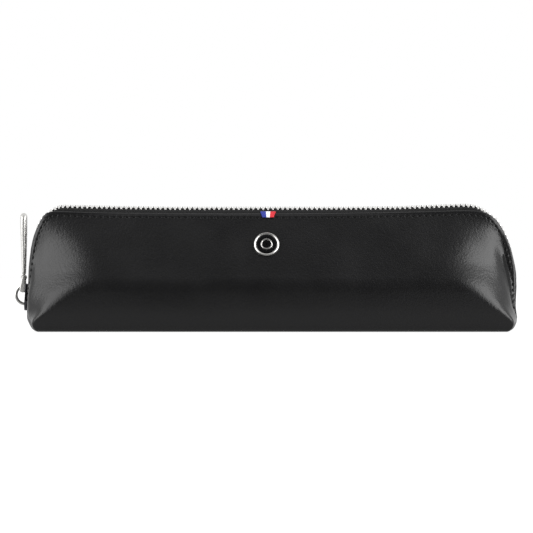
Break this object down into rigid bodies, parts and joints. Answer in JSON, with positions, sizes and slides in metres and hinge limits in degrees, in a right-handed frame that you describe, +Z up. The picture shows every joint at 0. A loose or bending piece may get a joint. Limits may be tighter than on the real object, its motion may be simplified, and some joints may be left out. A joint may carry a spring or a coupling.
{
  "type": "zipped pen case",
  "caption": "Slim black leather pen case with a flat base, a metal zip round three sides, a long bar pull, a round badge and a small ribbon tab.",
  "frame": {"origin": "middle of the underside, on the surface that the case stands on", "axes": "+X along the case towards the opening end of the zip, -Y out of the front wall with the badge, +Z up"},
  "size_m": [0.2052, 0.0384, 0.051],
  "materials": {
    "leather": "smooth black calf, satin",
    "lining": "black woven cotton",
    "board": "pressed fibre board",
    "tape": "black woven tape",
    "zip_metal": "polished",
    "badge_metal": "polished",
    "badge_lacquer": "black lacquer",
    "ribbon": "woven ribbon in blue, white and red"
  },
  "bodies": {
    "base": {"base_leather": "leather", "base_board": "board", "base_lining": "lining", "bottom_stop": "zip_metal"},
    "front_wall": {"front_leather": "leather", "front_lining": "lining", "front_tape": "tape", "front_teeth": "zip_metal", "front_top_stop": "zip_metal", "badge_bezel": "badge_metal", "badge_disc": "badge_lacquer", "badge_ring": "badge_metal", "badge_washer": "badge_metal", "ribbon_tab": "ribbon"},
    "back_wall": {"back_leather": "leather", "back_lining": "lining", "back_tape": "tape", "back_teeth": "zip_metal", "back_top_stop": "zip_metal"},
    "slider": {"slider_body": "zip_metal", "slider_bridge": "zip_metal"},
    "link": {"pull_link": "zip_metal"},
    "pull": {"pull_bar": "zip_metal"}
  },
  "joints": [
    {"name": "front_wall_open", "type": "hinge", "parent": "base", "child": "front_wall", "pos_m": [0, -0.0192, 0.006], "axis": [1, 0, 0], "range_deg": [0, 13], "deforming": ["front_teeth", "back_teeth"]},
    {"name": "back_wall_open", "type": "hinge", "parent": "base", "child": "back_wall", "pos_m": [0, 0.0192, 0.006], "axis": [-1, 0, 0], "range_deg": [0, 13]},
    {"name": "slider_travel", "type": "slide", "parent": "base", "child": "slider", "axis": [0.061, 0, 0.9981], "range_m": [0, 0.0147], "deforming": ["front_teeth", "back_teeth"]},
    {"name": "link_swing", "type": "hinge", "parent": "slider", "child": "link", "pos_m": [-0.10183, 0, 0.01699], "axis": [0, -1, 0], "range_deg": [0, 70]},
    {"name": "pull_swing", "type": "hinge", "parent": "link", "child": "pull", "pos_m": [-0.1014, 0, 0.02197], "axis": [0, -1, 0], "range_deg": [0, 58]}
  ],
  "couplings": [
    {"joint": "back_wall_open", "follows": "front_wall_open", "ratio": 1}
  ]
}
